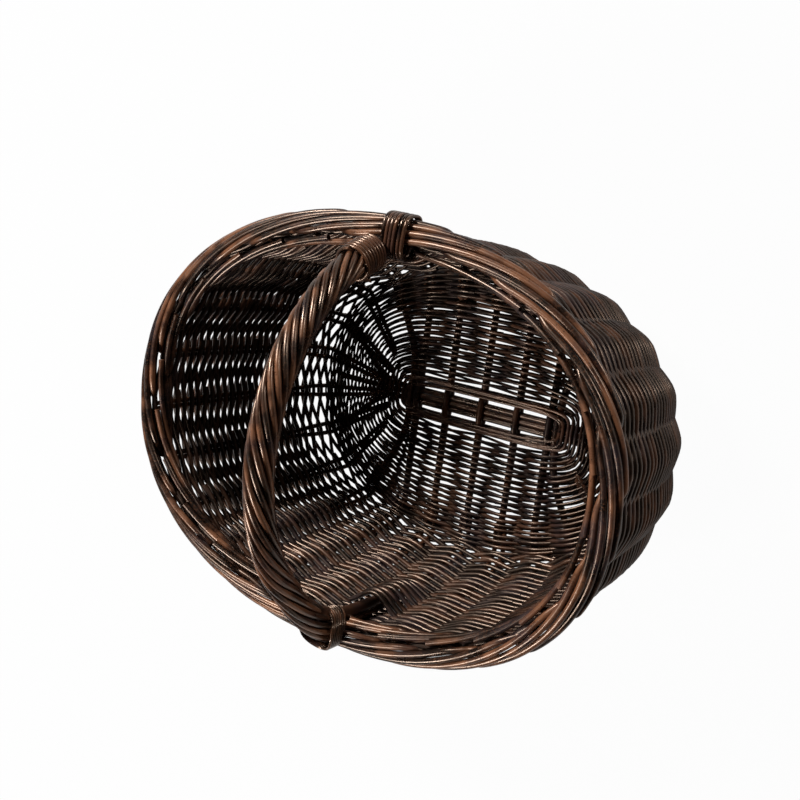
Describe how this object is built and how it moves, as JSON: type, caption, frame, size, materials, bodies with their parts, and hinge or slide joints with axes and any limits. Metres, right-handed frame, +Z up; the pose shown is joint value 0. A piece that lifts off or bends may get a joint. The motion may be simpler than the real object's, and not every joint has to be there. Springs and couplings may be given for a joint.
{
  "type": "wicker shopping basket",
  "caption": "Oval dark willow shopping basket with a ridged woven wall, a rolled rod border and a fixed roped handle across the middle.",
  "frame": {"origin": "centre of the underside, on the surface that the basket stands on", "axes": "+Z up, long axis of the oval along X, handle across the basket along Y"},
  "size_m": [0.4568, 0.3516, 0.3276],
  "materials": {
    "willow_stick": "dark brown stained willow, satin",
    "willow_stake": "dark brown stained willow rod, satin with paler worn highlights",
    "willow_weave": "near-black brown stained willow weavers",
    "willow_handle": "dark reddish brown willow rods, satin",
    "cane_lashing": "thin peeled cane, stained brown, glossier than the rods"
  },
  "bodies": {
    "root": {"base_cross_stick_1": "willow_stick", "base_cross_stick_2": "willow_stick", "base_cross_stick_3": "willow_stick", "base_cross_stick_4": "willow_stick", "base_cross_stick_5": "willow_stick", "base_cross_stick_6": "willow_stick", "base_cross_stick_7": "willow_stick", "base_long_stick_1": "willow_stick", "base_long_stick_2": "willow_stick", "base_long_stick_3": "willow_stick", "base_binding_lower": "willow_stick", "base_binding_upper": "willow_stick", "handle_bow": "willow_stick", "base_weave_lower": "willow_weave", "base_weave_upper": "willow_weave", "upsett_weave": "willow_weave", "side_weave": "willow_weave", "stake_pair_01": "willow_stake", "stake_pair_02": "willow_stake", "stake_pair_03": "willow_stake", "stake_pair_04": "willow_stake", "stake_pair_05": "willow_stake", "stake_pair_06": "willow_stake", "stake_pair_07": "willow_stake", "stake_pair_08": "willow_stake", "stake_pair_09": "willow_stake", "stake_pair_10": "willow_stake", "stake_pair_11": "willow_stake", "stake_pair_12": "willow_stake", "stake_pair_13": "willow_stake", "stake_pair_14": "willow_stake", "stake_pair_15": "willow_stake", "stake_pair_16": "willow_stake", "stake_pair_17": "willow_stake", "stake_pair_18": "willow_stake", "stake_pair_19": "willow_stake", "stake_pair_20": "willow_stake", "stake_pair_21": "willow_stake", "stake_pair_22": "willow_stake", "stake_pair_23": "willow_stake", "stake_pair_24": "willow_stake", "stake_pair_25": "willow_stake", "stake_pair_26": "willow_stake", "foot_wale": "willow_stake", "handle_rope_rod_1": "willow_handle", "handle_rope_rod_2": "willow_handle", "handle_rope_rod_3": "willow_handle", "handle_rope_rod_4": "willow_handle", "handle_rope_rod_5": "willow_handle", "handle_rope_rod_6": "willow_handle", "handle_rope_rod_7": "willow_handle", "handle_rope_rod_8": "willow_handle", "handle_rope_rod_9": "willow_handle", "handle_rope_rod_10": "willow_handle", "handle_wrap_back": "cane_lashing", "border_lashing_back": "cane_lashing", "border_lashing_front": "cane_lashing"}
  },
  "joints": []
}
